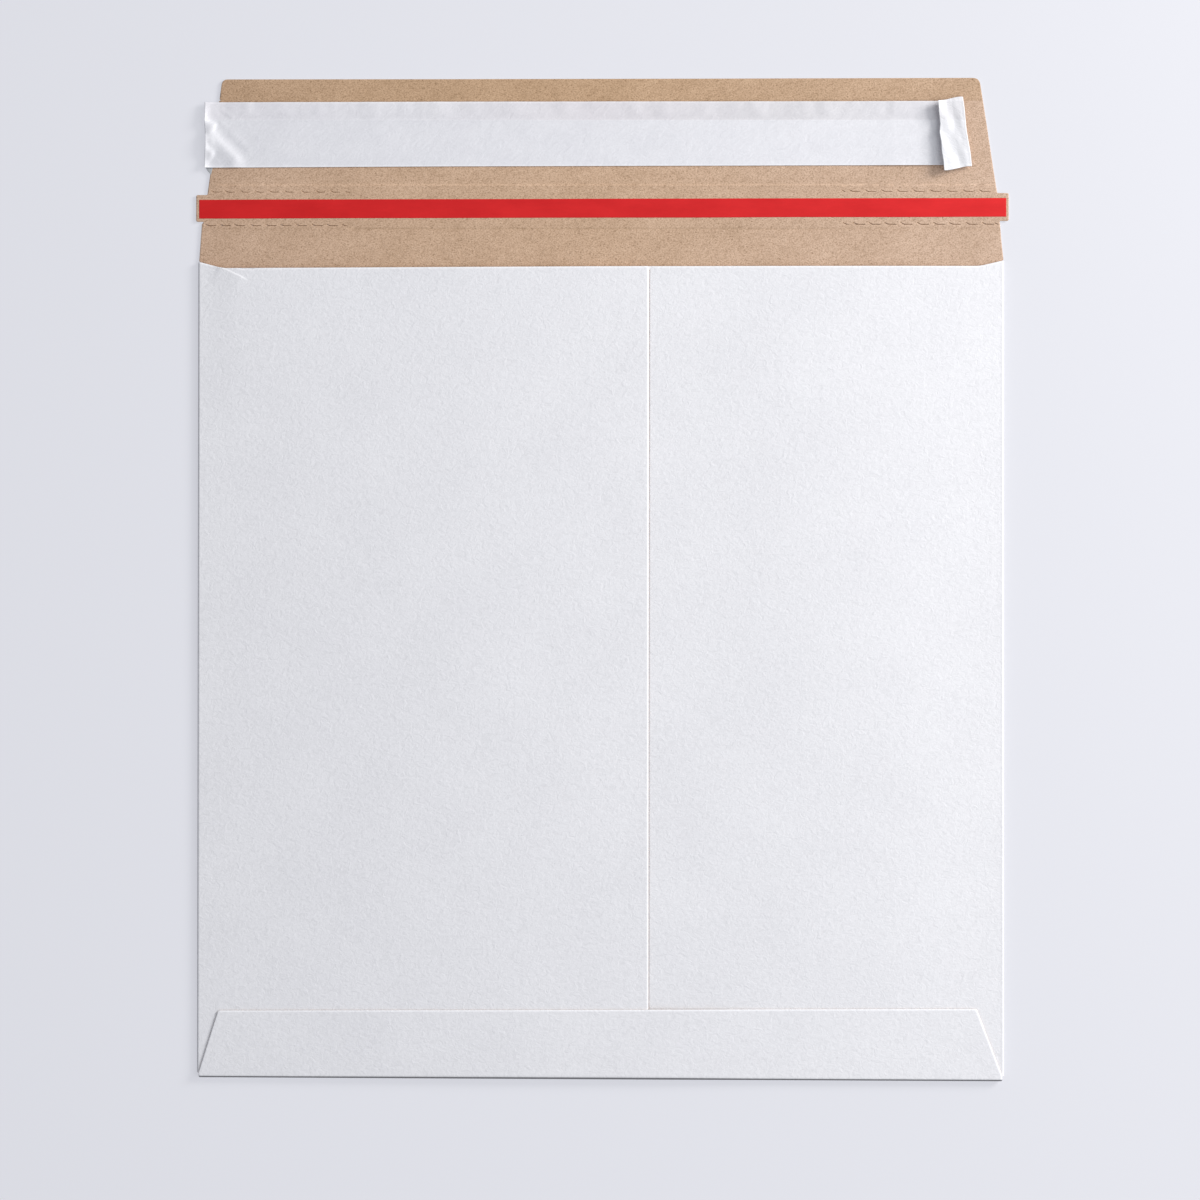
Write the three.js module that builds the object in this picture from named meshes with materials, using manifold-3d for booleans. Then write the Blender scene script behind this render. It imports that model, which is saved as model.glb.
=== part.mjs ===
// Calendar envelope: a flat paperboard mailer made from one creased and folded
// sheet, white outside and brown kraft inside, with a self-seal closure flap.
//
// Millimetres. The envelope lies on its front panel, back side up, the closure
// flap open and level with the front panel:
//   +X  to the right, seen from the back with the closure flap at the top
//   +Y  towards the free edge of the open closure flap
//   +Z  up, away from the surface it lies on
// Origin: middle of the footprint, on the surface.
import * as THREE from 'three';
import { mergeVertices } from 'three/addons/utils/BufferGeometryUtils.js';
import Module from 'manifold-3d';

// ---------------------------------------------------------------- dimensions
const BOARD = 0.6;                 // thickness of the paperboard
const POCKET = 0.6;                // clear height of the empty, flat pocket
const BODY_W = 324.0;              // side fold to side fold
const TOTAL_L = 402.0;             // bottom fold to flap edge, flap open
const BOTTOM_Y = -TOTAL_L / 2;     // bottom fold
const TOP_Y = TOTAL_L / 2;         // free edge of the open flap
const CREASE_Y = 127.5;            // crease of the closure flap
const HINGE_Z = 1.85;              // height of the line the flap turns about
const HINGE_GAP = 0.15;            // half of the gap left at the crease

const HALF_W = BODY_W / 2;
const FOLD_R = (BOARD + POCKET + BOARD) / 2;      // outside radius of a side fold
const FOLD_X = HALF_W - FOLD_R;                   // where a side fold begins
const BACK_Z = BOARD + POCKET;                    // underside of the back panels
const SEAM_X = 19.0;                              // free edge of the upper (left) back panel
const LAP = 25.5;                                 // overlap of the two back panels
const GLUE_GAP = 0.15;                            // room for the glue in a lap
const LAP_RISE = BOARD + GLUE_GAP;                // lift of the left panel over the right one

// throat: the free top edge of the back panels
const THROAT_Y = 125.2;
const THROAT_SHOULDER_Y = 127.2;
const THROAT_LEFT_X = -152.5;
const THROAT_RIGHT_X = 152.5;

// bottom flap, folded up over both back panels and glued
const BOTTOM_FLAP_Y = -173.8;
const BOTTOM_FLAP_LEFT_X = -153.8;
const BOTTOM_FLAP_RIGHT_X = 151.2;
const BOTTOM_FLAP_Z = BACK_Z + BOARD + GLUE_GAP;  // its underside beside the lap
const BRIDGE_END_X = 72.0;                        // where it has come down from the lap

// closure flap
const FLAP_EAR_LOW_X = 160.5;
const FLAP_EAR_HIGH_X = 159.0;
const FLAP_TOP_X = 152.4;
const FLAP_CORNER_R = 3.2;
const EAR_X = 163.6;                              // pull tabs of the tear strip
const EAR_Y0 = 143.6;
const EAR_Y1 = 154.8;
const EAR_R = 0.9;

// perforation of the tear strip: a zip of hooked slits at each end of each row
const SLIT_W = 0.22;
const ROW_HIGH_Y = 156.2;
const ROW_LOW_Y = 142.3;
const ZONES = [
  { row: ROW_HIGH_Y, x0: -156.6, pitch: 6.1, count: 10, dash: 2.7, hook: 1.3, drop: 0.6 },
  { row: ROW_LOW_Y, x0: -159.2, pitch: 6.13, count: 10, dash: 2.7, hook: 1.4, drop: 0.6 },
  { row: ROW_HIGH_Y, x0: 100.0, pitch: 6.5, count: 9, dash: 3.0, hook: 1.5, drop: 0.7 },
  { row: ROW_LOW_Y, x0: 97.3, pitch: 6.5, count: 1, dash: 0.9, hook: 1.4, drop: 0.7 },
  { row: ROW_LOW_Y, x0: 101.4, pitch: 6.51, count: 9, dash: 3.1, hook: 1.5, drop: 0.8 },
];

// what is laid on the kraft side of the flap
const LAYER_GAP = 0.03;
const TAPE_T = 0.1;
const TAPE_X0 = -161.7, TAPE_X1 = 162.6;
const TAPE_Y0 = 145.15, TAPE_Y1 = 152.75;
const GLUE_T = 0.1;
const GLUE_X0 = -158.8, GLUE_X1 = 131.0;
const GLUE_Y0 = 166.6, GLUE_Y1 = 184.6;
const LINER_T = 0.12;
const LINER_X0 = -159.4;
const LINER_Y0 = 165.6, LINER_Y1 = 191.8;
const LINER_LIFT_X = 118.0;                       // from here the liner leaves the flap
// the folded back end of the liner, seen from above: fold line and free edge
const TAB = {
  foldLow: [148.8, 165.7], foldHigh: [145.1, 193.8],
  freeLow: [138.2, 164.2], freeHigh: [135.7, 192.4],
  foldZ: 2.1, foldR: 0.42, freeZ: 5.6,
};

// --------------------------------------------------------------------- tools
const wasm = await Module();
wasm.setup();

function welded(geometry) {
  const g = geometry.clone();
  g.deleteAttribute('normal');
  g.deleteAttribute('uv');
  return mergeVertices(g, 1e-4);
}

function solid(geometry) {
  const g = welded(geometry);
  return new wasm.Manifold(new wasm.Mesh({
    numProp: 3,
    vertProperties: new Float32Array(g.attributes.position.array),
    triVerts: new Uint32Array(g.index.array),
  }));
}

function geometryOf(manifold) {
  const m = manifold.getMesh();
  const g = new THREE.BufferGeometry();
  g.setAttribute('position', new THREE.BufferAttribute(new Float32Array(m.vertProperties), 3));
  g.setIndex(new THREE.BufferAttribute(new Uint32Array(m.triVerts), 1));
  g.computeVertexNormals();
  return g;
}

const smooth = (u) => {
  const c = Math.min(1, Math.max(0, u));
  return c * c * (3 - 2 * c);
};
const mix = (a, b, u) => a + (b - a) * u;

// closed outline of a sheet of thickness t whose middle follows the points
function ribbon(points, t) {
  const left = [], right = [];
  points.forEach(([x, y], i) => {
    const a = points[Math.max(0, i - 1)], b = points[Math.min(points.length - 1, i + 1)];
    const p = points[i];
    const d0 = i > 0 ? [p[0] - a[0], p[1] - a[1]] : [b[0] - p[0], b[1] - p[1]];
    const d1 = i < points.length - 1 ? [b[0] - p[0], b[1] - p[1]] : d0;
    const l0 = Math.hypot(...d0), l1 = Math.hypot(...d1);
    const n0 = [-d0[1] / l0, d0[0] / l0], n1 = [-d1[1] / l1, d1[0] / l1];
    let n = [n0[0] + n1[0], n0[1] + n1[1]];
    const l = Math.hypot(...n);
    n = [n[0] / l, n[1] / l];
    const k = 1 / (n[0] * n0[0] + n[1] * n0[1]);
    left.push([x + n[0] * k * t / 2, y + n[1] * k * t / 2]);
    right.push([x - n[0] * k * t / 2, y - n[1] * k * t / 2]);
  });
  return shapeOf([...left, ...right.reverse()]);
}

function shapeOf(points) {
  return new THREE.Shape(points.map(([x, y]) => new THREE.Vector2(x, y)));
}

function arc(cx, cy, r, from, to, n) {
  const out = [];
  for (let i = 0; i <= n; i++) {
    const a = THREE.MathUtils.degToRad(mix(from, to, i / n));
    out.push([cx + r * Math.cos(a), cy + r * Math.sin(a)]);
  }
  return out;
}

// an outline in X and Y, standing from z0 to z1
function plate(shape, z0, z1) {
  return new THREE.ExtrudeGeometry(shape, { depth: z1 - z0, bevelEnabled: false, curveSegments: 8 })
    .translate(0, 0, z0);
}

// an outline in X and Z, running along Y
function alongY(shape, y0, y1, steps) {
  return new THREE.ExtrudeGeometry(shape, { depth: y1 - y0, steps, bevelEnabled: false })
    .rotateX(Math.PI / 2).translate(0, y1, 0);
}

// an outline in Y and Z, running along X
function alongX(points, x0, x1, steps) {
  const shape = shapeOf(points);
  return new THREE.ExtrudeGeometry(shape, { depth: x1 - x0, steps, bevelEnabled: false })
    .applyMatrix4(new THREE.Matrix4().makeBasis(
      new THREE.Vector3(0, 1, 0), new THREE.Vector3(0, 0, 1), new THREE.Vector3(1, 0, 0)))
    .translate(x0, 0, 0);
}

function moveVertices(geometry, fn) {
  const p = geometry.attributes.position;
  for (let i = 0; i < p.count; i++) {
    const [x, y, z] = fn(p.getX(i), p.getY(i), p.getZ(i));
    p.setXYZ(i, x, y, z);
  }
  p.needsUpdate = true;
  geometry.computeVertexNormals();
  return geometry;
}

// middle height of the left back panel, which climbs onto the right one
const leftPanelMid = (x) =>
  BACK_Z + BOARD / 2 + LAP_RISE * smooth((x + FOLD_X) / (SEAM_X - LAP - 6 + FOLD_X));

// height of the bottom flap above its height beside the lap
const bottomFlapLift = (x) => x <= SEAM_X
  ? leftPanelMid(x) - (BACK_Z + BOARD / 2)
  : LAP_RISE * (1 - smooth((x - SEAM_X - 2) / (BRIDGE_END_X - SEAM_X)));

// -------------------------------------------------------------- envelope body
// One sheet: right back panel, side fold, front panel, side fold, left back
// panel, and at the lower end of the front panel the bottom flap.
function envelopeBody() {
  const mid = BOARD / 2;
  const path = [
    [SEAM_X - LAP, BACK_Z + mid],
    ...arc(FOLD_X, FOLD_R, FOLD_R - mid, 90, -90, 10),
    ...arc(-FOLD_X, FOLD_R, FOLD_R - mid, 270, 90, 10),
  ];
  const climb = 10;
  const climbEnd = SEAM_X - LAP - 6;
  for (let i = 1; i <= climb; i++) {
    const x = mix(-FOLD_X, climbEnd, i / climb);
    path.push([x, leftPanelMid(x)]);
  }
  path.push([SEAM_X, leftPanelMid(SEAM_X)]);
  const tubeLow = BOTTOM_Y + 1.8;
  let body = solid(alongY(ribbon(path, BOARD), tubeLow, CREASE_Y - HINGE_GAP, 1));

  // the throat: back panels end just below the crease, with sloping shoulders
  const throat = shapeOf([
    [-HALF_W - 2, THROAT_SHOULDER_Y], [THROAT_LEFT_X, THROAT_Y], [THROAT_RIGHT_X, THROAT_Y],
    [HALF_W + 2, THROAT_SHOULDER_Y], [HALF_W + 2, CREASE_Y + 5], [-HALF_W - 2, CREASE_Y + 5],
  ]);
  body = body.subtract(solid(plate(throat, BOARD + 0.25, 6)));

  // the bottom fold and the bottom flap
  const r0 = (BOTTOM_FLAP_Z + BOARD) / 2;
  const bendY = BOTTOM_Y + r0;
  const outer = arc(bendY, r0, r0, 270, 90, 12);
  const inner = arc(bendY, r0, r0 - BOARD, 90, 270, 12);
  // its root runs into the end of the front panel as a short wedge
  const section = [
    [tubeLow + 1.0, 0.12], [tubeLow - 0.1, 0], ...outer, [BOTTOM_FLAP_Y, BOTTOM_FLAP_Z + BOARD],
    [BOTTOM_FLAP_Y, BOTTOM_FLAP_Z], ...inner, [tubeLow - 0.1, BOARD], [tubeLow + 1.0, BOARD - 0.12],
  ].reverse();
  const flap = moveVertices(alongX(section, -FOLD_X + 0.3, FOLD_X - 0.3, 36), (x, y, z) => {
    const d = bottomFlapLift(x);
    if (y > bendY + 0.01) return [x, y, z > r0 ? z + d : z];
    const dy = y - bendY, dz = z - r0, rho = Math.hypot(dy, dz);
    const k = (rho + d / 2) / rho;
    return [x, bendY + d / 2 + dy * k, r0 + d / 2 + dz * k];
  });
  let bottom = solid(flap);
  const slant = (side, topX) => {
    const s = [[side * FOLD_X, BOTTOM_Y - 0.01], [topX, BOTTOM_FLAP_Y],
      [topX + (topX - side * FOLD_X) * 0.1, BOTTOM_FLAP_Y + (BOTTOM_FLAP_Y - BOTTOM_Y) * 0.1],
      [side * (HALF_W + 8), BOTTOM_FLAP_Y + 4], [side * (HALF_W + 8), BOTTOM_Y - 0.01]];
    return solid(plate(shapeOf(side > 0 ? s.reverse() : s), BOARD + 0.1, 6));
  };
  bottom = bottom.subtract(slant(-1, BOTTOM_FLAP_LEFT_X)).subtract(slant(1, BOTTOM_FLAP_RIGHT_X));
  return geometryOf(body.add(bottom));
}

// --------------------------------------------------------------- closure flap
function closureFlap() {
  const y0 = CREASE_Y + HINGE_GAP;
  const s = new THREE.Shape();
  s.moveTo(-HALF_W, y0);
  s.lineTo(HALF_W, y0);
  s.lineTo(FLAP_EAR_LOW_X, EAR_Y0);
  s.lineTo(EAR_X - EAR_R, EAR_Y0);
  s.quadraticCurveTo(EAR_X, EAR_Y0, EAR_X, EAR_Y0 + EAR_R);
  s.lineTo(EAR_X, EAR_Y1 - EAR_R);
  s.quadraticCurveTo(EAR_X, EAR_Y1, EAR_X - EAR_R, EAR_Y1);
  s.lineTo(FLAP_EAR_HIGH_X, EAR_Y1);
  const dx = (FLAP_EAR_HIGH_X - FLAP_TOP_X) / (TOP_Y - EAR_Y1);
  s.lineTo(FLAP_TOP_X + dx * FLAP_CORNER_R, TOP_Y - FLAP_CORNER_R);
  s.quadraticCurveTo(FLAP_TOP_X, TOP_Y, FLAP_TOP_X - FLAP_CORNER_R, TOP_Y);
  s.lineTo(-FLAP_TOP_X + FLAP_CORNER_R, TOP_Y);
  s.quadraticCurveTo(-FLAP_TOP_X, TOP_Y, -FLAP_TOP_X - dx * FLAP_CORNER_R, TOP_Y - FLAP_CORNER_R);
  s.lineTo(-FLAP_EAR_HIGH_X, EAR_Y1);
  s.lineTo(-EAR_X + EAR_R, EAR_Y1);
  s.quadraticCurveTo(-EAR_X, EAR_Y1, -EAR_X, EAR_Y1 - EAR_R);
  s.lineTo(-EAR_X, EAR_Y0 + EAR_R);
  s.quadraticCurveTo(-EAR_X, EAR_Y0, -EAR_X + EAR_R, EAR_Y0);
  s.lineTo(-FLAP_EAR_LOW_X, EAR_Y0);
  s.closePath();
  for (const z of ZONES) {
    for (let i = 0; i < z.count; i++) {
      const x = z.x0 + i * z.pitch, y = z.row, w = SLIT_W / 2;
      // hook from the upper left, then the dash
      s.holes.push(new THREE.Path([
        [x - w, y + z.drop], [x + w, y + z.drop + w], [x + z.hook + w / 2, y + w],
        [x + z.hook + z.dash, y + w], [x + z.hook + z.dash, y - w], [x + z.hook - w / 2, y - w],
      ].map(([a, b]) => new THREE.Vector2(a, b))));
    }
  }
  return welded(plate(s, 0, BOARD));
}

// ------------------------------------------------------- layers on the flap
function tearTape() {
  const z = BOARD + LAYER_GAP;
  return plate(shapeOf([[TAPE_X0, TAPE_Y0], [TAPE_X1, TAPE_Y0 + 0.05], [TAPE_X1, TAPE_Y1 + 0.1],
    [TAPE_X0, TAPE_Y1 - 0.05]]), z, z + TAPE_T);
}

function closureAdhesive() {
  const z = BOARD + LAYER_GAP;
  // a film that ends in a small drawn-out tail beside the flap's left edge
  return plate(shapeOf([
    [-157.4, 163.0], [-157.0, 165.9], [GLUE_X0 + 6, GLUE_Y0], [GLUE_X1, GLUE_Y0],
    [GLUE_X1, GLUE_Y1], [GLUE_X0, GLUE_Y1], [GLUE_X0 - 0.3, 165.5],
  ]), z, z + GLUE_T);
}

function releaseLiner() {
  const mid = BOARD + LAYER_GAP + GLUE_T + LAYER_GAP + LINER_T / 2;
  const foldX = 146.0, freeX = 136.9;
  const run = [[LINER_X0, mid], [-60, mid], [40, mid], [LINER_LIFT_X, mid]];
  for (let i = 1; i <= 6; i++) {
    const u = i / 6;
    run.push([mix(LINER_LIFT_X, foldX, u), mid + (TAB.foldZ - mid) * u * u]);
  }
  // round the fold, then back over the run, springing up to the free edge
  const turn = arc(foldX, TAB.foldZ + TAB.foldR, TAB.foldR, -78, 78, 6).slice(1);
  const back = [];
  const zTop = TAB.foldZ + TAB.foldR * 2;
  for (let i = 1; i <= 6; i++) {
    const u = i / 6;
    back.push([mix(foldX, freeX, u), mix(zTop, TAB.freeZ, u * (0.55 + 0.45 * u))]);
  }
  const g = alongY(ribbon([...run, ...turn, ...back], LINER_T), LINER_Y0, LINER_Y1, 6);
  const split = TAB.foldZ + TAB.foldR;
  return welded(moveVertices(g, (x, y, z) => {
    const v = (y - LINER_Y0) / (LINER_Y1 - LINER_Y0);
    const fold = [mix(TAB.foldLow[0], TAB.foldHigh[0], v), mix(TAB.foldLow[1], TAB.foldHigh[1], v)];
    const free = [mix(TAB.freeLow[0], TAB.freeHigh[0], v), mix(TAB.freeLow[1], TAB.freeHigh[1], v)];
    if (x <= LINER_LIFT_X) return [x, y, z];
    if (x >= foldX) return [fold[0] + (x - foldX), fold[1], z];
    if (z < split) {
      const k = smooth((x - LINER_LIFT_X) / (foldX - LINER_LIFT_X));
      return [x + (fold[0] - foldX) * k, mix(y, fold[1], k), z];
    }
    const u = (x - freeX) / (foldX - freeX);
    return [mix(free[0], fold[0], u), mix(free[1], fold[1], u), z];
  }));
}

// ------------------------------------------------------- glue in the seams
function sideSeamGlue() {
  const z = BACK_Z + BOARD + LAYER_GAP;
  const x0 = SEAM_X - LAP + 4, x1 = SEAM_X - 3.5;
  return plate(shapeOf([[x0, BOTTOM_Y + 4], [x1, BOTTOM_Y + 4], [x1, THROAT_Y - 4], [x0, THROAT_Y - 4]]),
    z, z + GLUE_GAP - 2 * LAYER_GAP);
}

function bottomFlapGlue() {
  const z1 = BOTTOM_FLAP_Z - LAYER_GAP, z0 = z1 - (GLUE_GAP - 2 * LAYER_GAP);
  const section = [[BOTTOM_Y + 8, z0], [BOTTOM_FLAP_Y - 4, z0], [BOTTOM_FLAP_Y - 4, z1], [BOTTOM_Y + 8, z1]];
  return welded(moveVertices(alongX(section, -148, 146, 36), (x, y, z) => [x, y, z + bottomFlapLift(x)]));
}

// ------------------------------------------------------------------ assembly
const white = new THREE.Color(0.82, 0.82, 0.84);
const kraft = new THREE.Color(0.56, 0.38, 0.24);
const parts = {
  envelope_body: [envelopeBody(), white, 0.85],
  closure_flap: [closureFlap(), kraft, 0.85],
  tear_tape: [tearTape(), new THREE.Color(0.62, 0.03, 0.035), 0.4],
  closure_adhesive: [closureAdhesive(), new THREE.Color(0.62, 0.64, 0.63), 0.3],
  release_liner: [releaseLiner(), new THREE.Color(0.8, 0.8, 0.82), 0.45],
  side_seam_glue: [sideSeamGlue(), new THREE.Color(0.75, 0.74, 0.68), 0.4],
  bottom_flap_glue: [bottomFlapGlue(), new THREE.Color(0.75, 0.74, 0.68), 0.4],
};

const envelope = new THREE.Group();
for (const [name, [geometry, color, roughness]] of Object.entries(parts)) {
  const mesh = new THREE.Mesh(geometry, new THREE.MeshStandardMaterial({ color, roughness, metalness: 0 }));
  mesh.name = name;
  envelope.add(mesh);
}

export default envelope;
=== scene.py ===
import bpy
import math
import numpy as np
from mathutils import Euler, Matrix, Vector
from mathutils.geometry import delaunay_2d_cdt
from mathutils.kdtree import KDTree


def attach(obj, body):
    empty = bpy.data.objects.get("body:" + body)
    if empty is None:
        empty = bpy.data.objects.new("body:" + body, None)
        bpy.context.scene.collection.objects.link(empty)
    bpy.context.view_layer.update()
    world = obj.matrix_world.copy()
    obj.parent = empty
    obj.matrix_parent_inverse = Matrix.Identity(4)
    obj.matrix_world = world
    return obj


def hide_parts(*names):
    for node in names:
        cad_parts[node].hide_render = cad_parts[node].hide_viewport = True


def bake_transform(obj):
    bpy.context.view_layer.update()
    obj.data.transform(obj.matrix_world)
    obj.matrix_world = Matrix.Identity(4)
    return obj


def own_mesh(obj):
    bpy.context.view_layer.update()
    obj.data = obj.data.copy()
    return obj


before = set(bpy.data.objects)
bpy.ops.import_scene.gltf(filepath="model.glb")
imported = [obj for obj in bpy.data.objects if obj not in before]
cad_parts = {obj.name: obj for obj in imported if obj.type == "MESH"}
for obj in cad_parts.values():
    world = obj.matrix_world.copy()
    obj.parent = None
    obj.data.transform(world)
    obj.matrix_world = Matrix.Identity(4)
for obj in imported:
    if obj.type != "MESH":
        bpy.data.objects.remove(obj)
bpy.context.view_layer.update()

MM = 0.001

# ------------------------------------------------------------------ dimensions
# Millimetres, in the model's own frame.
BOARD = 0.6
HALF = BOARD / 2
BACK_Z = 1.2
FOLD_X = 161.1
R_MID = 0.6                      # middle of the board round a side fold
ARC = math.pi * R_MID
UB = FOLD_X + ARC                # where a back panel begins on the flat sheet
LAP_RISE = 0.75
CLIMB_END = -12.5
SEAM_X = 19.6                    # free edge of the left back panel
UNDER_X = -6.5                   # free edge of the right back panel, under it
TUBE_LOW = -199.2
FLAT_V0 = -201.0 + 1.275         # where the bottom fold begins
BEND_LEN = math.pi * 0.975
BOTTOM_FLAP_MID = 2.25
CREASE_Y = 127.5
TOP_Y = 200.95


def smooth(u):
    c = np.clip(u, 0.0, 1.0)
    return c * c * (3 - 2 * c)


def mix(a, b, u):
    return a + (b - a) * u


def waves(x, y, size, seed, count=7, spread=0.5):
    """Soft random relief of about +-1 whose bumps are about size across."""
    rng = np.random.default_rng(seed)
    total = 0.0
    for _ in range(count):
        a = rng.uniform(0, 2 * math.pi)
        k = 2 * math.pi / (size * rng.uniform(1 - spread, 1 + spread) * 2)
        total = total + np.cos(k * (x * math.cos(a) + y * math.sin(a)) + rng.uniform(0, 2 * math.pi))
    return total / math.sqrt(count) * 0.8


# ---------------------------------------------------------------- folded sheet
def lap_rise(x):
    return LAP_RISE * smooth((x + FOLD_X) / (CLIMB_END + FOLD_X))


def bottom_lift(x):
    return np.where(x <= 19.0, lap_rise(x), LAP_RISE * (1 - smooth((x - 19.0 - 2) / 53.0)))


def bulge(x, y, left):
    """How far the empty back panels stand off the flat, with a valley at the seam."""
    side = smooth((FOLD_X - np.abs(x)) / 45.0)
    low = smooth((y + 196.0) / 60.0)
    soft = 0.5 + 0.35 * waves(x, y, 70.0, 11) + 0.15 * waves(x, y, 30.0, 12)
    crown = np.where(left, 0.15 * np.exp(-((x + 58.0) / 36.0) ** 2),
                     0.52 * smooth((x - 21.0) / 75.0) * smooth((FOLD_X - x) / 62.0))
    # the mouth of the pocket stands open a little beside the left fold
    mouth = 0.45 * smooth((x + FOLD_X) / 15.0) * (1 - smooth((x + 147.0) / 62.0)) * smooth((y - 40.0) / 70.0)
    return low * (side * np.clip(0.16 * soft, 0.0, 0.17) + crown + np.where(left, mouth, 0.0))


def flap_wave(x, y):
    """Slight waviness of the open closure flap above the surface it lies on."""
    free = smooth((y - 128.5) / 12.0)
    return free * np.clip(0.045 + 0.035 * waves(x, y, 40.0, 21) + 0.012 * waves(x, y, 14.0, 22), 0.0, 0.12)


# a short diagonal buckle in the left panel beside the throat's shoulder
BUCKLE_A = np.array([-152.7, 124.7])
BUCKLE_B = np.array([-144.6, 120.9])


def buckle(x, y):
    d = BUCKLE_B - BUCKLE_A
    length = float(np.hypot(*d))
    d = d / length
    along = (x - BUCKLE_A[0]) * d[0] + (y - BUCKLE_A[1]) * d[1]
    across = -(x - BUCKLE_A[0]) * d[1] + (y - BUCKLE_A[1]) * d[0]
    across = across + 0.03 * np.clip(along - 8.5, 0, None) ** 2
    fade = smooth((along + 2.0) / 2.0) * (1 - smooth((along - length * 0.85) / (length * 0.62)))
    # the board climbs slowly to a crest and drops off sharply on its upper side
    crest = np.where(across < 0, np.exp(np.minimum(across, 0) / 4.5), 1 - smooth(across / 0.75))
    return fade * 0.34 * crest


def back_height(x, y, left):
    z = BACK_Z + HALF + bulge(x, y, left)
    # the lap's free edge presses a shallow dent into the panel under it
    dent = 0.20 * smooth((x - 17.0) / 2.0) * (1 - smooth((x - SEAM_X + 0.1) / 0.8))
    return z + np.where(left, lap_rise(x) + buckle(x, y), -dent)


def normal_down(height, x, y, h=0.05):
    fx = (height(x + h, y) - height(x - h, y)) / (2 * h)
    fy = (height(x, y + h) - height(x, y - h)) / (2 * h)
    n = np.stack([fx, fy, -np.ones_like(fx)], 1)
    return n / np.linalg.norm(n, axis=1)[:, None]


def place(u, v, w):
    """Folds the flat sheet: u across, v along, w through the board, kraft side up."""
    n_points = len(u)
    side = np.sign(u)
    a = np.abs(u)
    pos = np.zeros((n_points, 3))
    nor = np.zeros((n_points, 3))
    tube = (a > FOLD_X) & (v < CREASE_Y - 0.1) & (v > TUBE_LOW - 0.3)
    tail = (v < FLAT_V0) & ~tube
    flat = ~tube & ~tail

    # front panel and closure flap
    x, y = u[flat], v[flat]
    d = bottom_lift(x)
    pos[flat, 0] = x
    pos[flat, 1] = y + d / 2 * smooth((FLAT_V0 + 8 - y) / 8)
    pos[flat, 2] = HALF + flap_wave(x, y)
    nor[flat, 2] = 1

    # side folds
    s = a - FOLD_X
    bend = tube & (s < ARC)
    th = s[bend] / R_MID
    pos[bend, 0] = side[bend] * (FOLD_X + R_MID * np.sin(th))
    pos[bend, 1] = v[bend]
    pos[bend, 2] = HALF + R_MID * (1 - np.cos(th))
    nor[bend, 0] = -side[bend] * np.sin(th)
    nor[bend, 2] = np.cos(th)

    # back panels
    for is_left in (False, True):
        back = tube & (s >= ARC) & ((side < 0) == is_left)
        x, y = side[back] * (FOLD_X - (s[back] - ARC)), v[back]
        left = np.full(len(x), is_left)
        pos[back, 0], pos[back, 1] = x, y
        pos[back, 2] = back_height(x, y, left)
        nor[back] = normal_down(lambda p, q: back_height(p, q, left), x, y)

    # bottom fold and bottom flap
    x = u[tail]
    t = FLAT_V0 - v[tail]
    d = bottom_lift(x)
    phi = np.pi * np.clip(t / BEND_LEN, 0, 1)
    rho = 0.975 + d / 2
    over = np.clip(t - BEND_LEN, 0, None)
    y_flap = FLAT_V0 + over + d / 2 * (1 - smooth(over / 15))
    extra = bulge(x, y_flap, x < SEAM_X) * smooth(over / 6) + 0.05 * (0.5 + 0.5 * waves(x, y_flap, 35.0, 31)) * smooth(over / 6)
    in_bend = t < BEND_LEN
    pos[tail, 0] = x
    pos[tail, 1] = np.where(in_bend, FLAT_V0 + d / 2 - rho * np.sin(phi), y_flap)
    pos[tail, 2] = np.where(in_bend, HALF + rho * (1 - np.cos(phi)), BOTTOM_FLAP_MID + d + extra)
    nor[tail, 1] = np.where(in_bend, np.sin(phi), 0)
    nor[tail, 2] = np.where(in_bend, np.cos(phi), -1)
    # the bottom fold isn't quite square to the sides
    askew = 0.5 * np.clip((pos[:, 0] + FOLD_X) / (2 * FOLD_X), 0, 1) * smooth((-150.0 - pos[:, 1]) / 45.0)
    pos[:, 1] -= askew
    return pos + nor * w[:, None]


def tail_v(y):
    """Flat position of a line that lies at y on the folded bottom flap."""
    return 2 * FLAT_V0 - BEND_LEN - y


def right_u(x):
    return UB + (FOLD_X - x)


def left_u(x):
    return -(UB + (FOLD_X + x))


def curve(p0, control, p1, n):
    out = []
    for i in range(n + 1):
        t = i / n
        out.append(tuple((1 - t) ** 2 * p0[k] + 2 * t * (1 - t) * control[k] + t * t * p1[k] for k in (0, 1)))
    return out


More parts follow.
